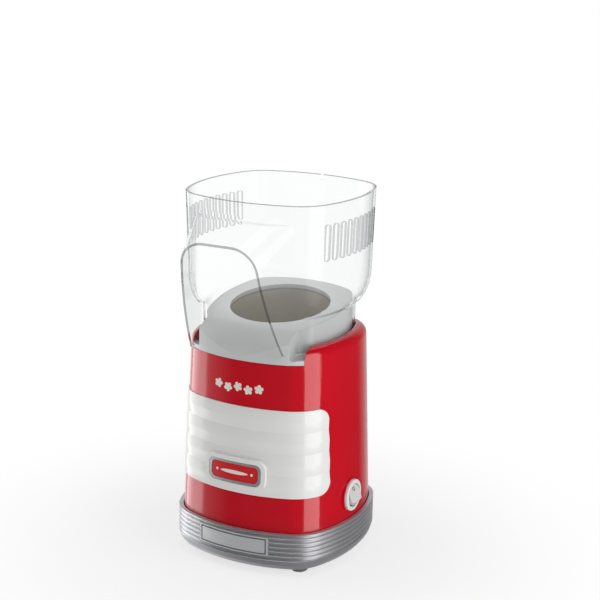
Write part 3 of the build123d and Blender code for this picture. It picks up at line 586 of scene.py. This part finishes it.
def make_plate_line():
    mesh = bmesh.new()
    plate_low, plate_high = (Vector(corner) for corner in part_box("name_plate"))
    half = (plate_high - plate_low) / 2
    middle = Matrix.Translation((0, 0, (plate_low.z + plate_high.z) / 2))
    upright = middle @ Matrix.Rotation(math.pi / 2, 4, "X")
    size = Matrix.Diagonal((half.x - LINE_MARGIN, half.z - LINE_MARGIN, 1, 1))
    bmesh.ops.create_grid(mesh, x_segments=LINE_COLUMNS, y_segments=1, size=1.0, matrix=upright @ size)
    keep_border(mesh, LINE_WIDTH, even=True)
    push_out(mesh, (0, -LINE_HEIGHT, 0))
    lay_on_front(mesh, plate_low.y + LINE_SINK, BASE_BOW)
    return mesh


finish_piece(make_plate_line(), "plate_rim", mark_ink, "body")

# %% [markdown]
# ## The rocker's faces
# The rocker's two faces carry a mark each. A mark could be drawn straight in its place, but the faces
# lean. It is easier to make it flat about the origin and then stand it on its face with one matrix. A
# face leans by the rocker's tilt at rest and by its own angle to the rocker's middle.

# %% Place of the rocker's faces
REST_TILT = 9.0
FACET_ANGLE = 14.0
FACE_ANGLES = {"ring": REST_TILT + FACET_ANGLE, "bar": REST_TILT - FACET_ANGLE}
CROWN = 6.2 * MM
MARK_REACH = 4.6 * MM
pivot = Vector(next(joint["pos_m"] for joint in frame["joints"] if joint["name"] == "switch_rock"))


def face_matrix(kind):
    """Stands a mark, made in the XY plane about the origin, on the rocker's upper or lower face."""
    angle = math.radians(FACE_ANGLES[kind])
    tilt = math.radians(REST_TILT)
    crown = pivot + CROWN * Vector((math.cos(tilt), 0, math.sin(tilt)))
    normal = Vector((math.cos(angle), 0, math.sin(angle)))
    up = Vector((-math.sin(angle), 0, math.cos(angle)))
    side = up.cross(normal)
    place = crown + up * (MARK_REACH if kind == "ring" else -MARK_REACH)
    turn = Matrix((side, up, normal)).transposed().to_4x4()
    return Matrix.Translation(place) @ turn


print("pivot in mm:", [round(v / MM, 1) for v in pivot], "face angles:", FACE_ANGLES)

# %% [markdown]
# ## The switch's marks
# The marks are a ring and a plain bar. They could be a mask in the rocker's finish, but as thin raised
# solids they keep a crisp edge, and they ride on the rocker when it moves. The ring is a filled circle
# that keeps only its border, and the bar is a single face, pushed out.

# %% Switch marks
MARK_HEIGHT = 0.2 * MM
RING_RADIUS = 1.7 * MM
RING_WIDTH = 0.55 * MM
RING_SEGMENTS = 32
BAR_HALF = (0.35 * MM, 1.7 * MM)


def make_mark(kind):
    mesh = bmesh.new()
    if kind == "ring":
        bmesh.ops.create_circle(mesh, cap_ends=True, segments=RING_SEGMENTS, radius=RING_RADIUS)
        keep_border(mesh, RING_WIDTH, even=False)
    else:
        size = Matrix.Diagonal((*BAR_HALF, 1, 1))
        bmesh.ops.create_grid(mesh, x_segments=1, y_segments=1, size=1.0, matrix=size)
    push_out(mesh, (0, 0, MARK_HEIGHT))
    bmesh.ops.transform(mesh, matrix=face_matrix(kind), verts=mesh.verts)
    return mesh


for kind in FACE_ANGLES:
    finish_piece(make_mark(kind), f"switch_{kind}", mark_ink, "rocker")

# %% [markdown]
# ## The floor
# The object stands on a white floor that runs into a white background. A floor lit to pure white would
# need so much light that the object's pale pieces clip. So the floor is part matt and part glowing white:
# it is more matt under the object, where it keeps a soft shadow, and fades to plain white further out.

# %% Floor
FLOOR_REACH = 6.0
FLOOR_COLOUR = (0.9, 0.9, 0.9, 1)
FLOOR_ROUGHNESS = 0.7
FADE_START = 0.05
FADE_END = 0.32
FADE_LEAST = 0.72
WHITE = (1, 1, 1, 1)


def pale_floor():
    material, tree, shader = new_finish("pale floor")
    place = tree.nodes.new("ShaderNodeTexCoord").outputs["Object"]
    reach = calculate(tree, "LENGTH", place, kind="ShaderNodeVectorMath")
    fade = remap(tree, reach, (FADE_START, FADE_END), (FADE_LEAST, 1.0))
    fade.interpolation_type = "SMOOTHSTEP"
    glow = add_node(tree, "ShaderNodeEmission", Color=WHITE, Strength=1.0)
    feed(tree, shader, Base_Color=FLOOR_COLOUR, Roughness=FLOOR_ROUGHNESS)
    mix = add_node(tree, "ShaderNodeMixShader", Fac=fade.outputs["Result"])
    feed_socket(tree, mix.inputs[1], shader.outputs["BSDF"])
    feed_socket(tree, mix.inputs[2], glow.outputs["Emission"])
    feed(tree, tree.nodes["Material Output"], Surface=mix.outputs["Shader"])
    return material


def make_floor():
    mesh = bmesh.new()
    bmesh.ops.create_grid(mesh, x_segments=1, y_segments=1, size=FLOOR_REACH)
    data = bpy.data.meshes.new("floor")
    mesh.to_mesh(data)
    mesh.free()
    data.materials.append(pale_floor())
    floor = bpy.data.objects.new("floor", data)
    floor.visible_glossy = False
    bpy.context.collection.objects.link(floor)
    return floor


make_floor()
print("floor from", FADE_LEAST, "white to all white at", FADE_END, "m")

# %% [markdown]
# ## The world
# A single white world would light the object flat and fill every reflection. Light Path tells what kind
# of ray is asking, so each kind gets its own level: the camera and rays through the clear cover see
# white, and matt surfaces get a weak even light. Reflections see white only to the left and behind, and a
# dim room in front.

# %% World
AMBIENT = 0.11
BACKDROP = (-0.9, 0.43, 0.0)
BACKDROP_RANGE = (0.15, 0.85)
FRONT_ROOM = 0.05


def make_world():
    world = bpy.data.worlds.new("studio")
    world.use_nodes = True
    tree = world.node_tree
    rays = tree.nodes.new("ShaderNodeLightPath").outputs
    place = tree.nodes.new("ShaderNodeTexCoord").outputs["Generated"]
    towards = calculate(tree, "DOT_PRODUCT", place, BACKDROP, kind="ShaderNodeVectorMath")
    mirrored = remap(tree, towards, BACKDROP_RANGE, (FRONT_ROOM, 1.0))
    indirect = add_node(tree, "ShaderNodeMix", Factor=rays["Is Glossy Ray"], A=AMBIENT,
                        B=mirrored.outputs["Result"])
    direct = calculate(tree, "MAXIMUM", rays["Is Camera Ray"], rays["Is Transmission Ray"])
    level = add_node(tree, "ShaderNodeMix", Factor=direct, A=indirect.outputs["Result"], B=1.0)
    feed(tree, tree.nodes["Background"], Color=WHITE, Strength=level.outputs["Result"])
    return world


bpy.context.scene.world = make_world()
print("world ready")

# %% [markdown]
# ## The lamps
# Two tall soft boxes stand at the sides. Small lamps would leave hard spots on the gloss, but these draw
# the long upright highlights of the red housing and leave the middle of its front darker. They reach
# below the floor, which reflections don't see, so that the highlights run the whole height. A weak lamp
# overhead fills the hopper. No lamp is seen directly or through the clear cover.

# %% Lamps
LAMPS = {
    "left strip": ((-1.02, -0.12, 0.20), (0.9, 1.5), 8.0),
    "right strip": ((1.05, -0.16, 0.20), (0.9, 1.5), 11.5),
    "overhead": ((0.1, -0.2, 1.3), (0.8, 0.8), 5.0),
}
LAMP_TARGET = Vector((0, 0, 0.15))


def make_lamp(name, place, size, power):
    data = bpy.data.lights.new(name, "AREA")
    data.shape = "RECTANGLE"
    data.size, data.size_y = size
    data.energy = power
    lamp = bpy.data.objects.new(name, data)
    lamp.location = place
    lamp.rotation_euler = (LAMP_TARGET - Vector(place)).to_track_quat("-Z", "Y").to_euler()
    lamp.visible_camera = False
    lamp.visible_transmission = False
    bpy.context.collection.objects.link(lamp)


for name, (place, size, power) in LAMPS.items():
    make_lamp(name, place, size, power)
print("lamps:", list(LAMPS))

# %% [markdown]
# ## The camera
# The camera stands right of the front and a little above the object. It could be turned by eye until the
# view looks right, but its place, lens and turn here come from matching the object's edges to the
# photograph, so that the two can be laid over each other.

# %% Camera
CAMERA_PLACE = Vector((0.5738, -1.0329, 0.5274))
CAMERA_LENS = 91.92
SENSOR_WIDTH = 36.0
CAMERA_AZIMUTH = 28.02
CAMERA_PITCH = 15.09
CAMERA_ROLL = 1.08


def make_camera():
    data = bpy.data.cameras.new("camera")
    data.lens = CAMERA_LENS
    data.sensor_width = SENSOR_WIDTH
    camera = bpy.data.objects.new("camera", data)
    turn = Matrix.Rotation(math.radians(CAMERA_AZIMUTH), 4, "Z")
    tip = Matrix.Rotation(math.radians(90 - CAMERA_PITCH), 4, "X")
    lean = Matrix.Rotation(math.radians(CAMERA_ROLL), 4, "Z")
    camera.matrix_world = Matrix.Translation(CAMERA_PLACE) @ turn @ tip @ lean
    bpy.context.collection.objects.link(camera)
    return camera


bpy.context.scene.camera = make_camera()
bpy.context.scene.view_settings.view_transform = "Standard"
print("camera at", tuple(round(v, 3) for v in CAMERA_PLACE))
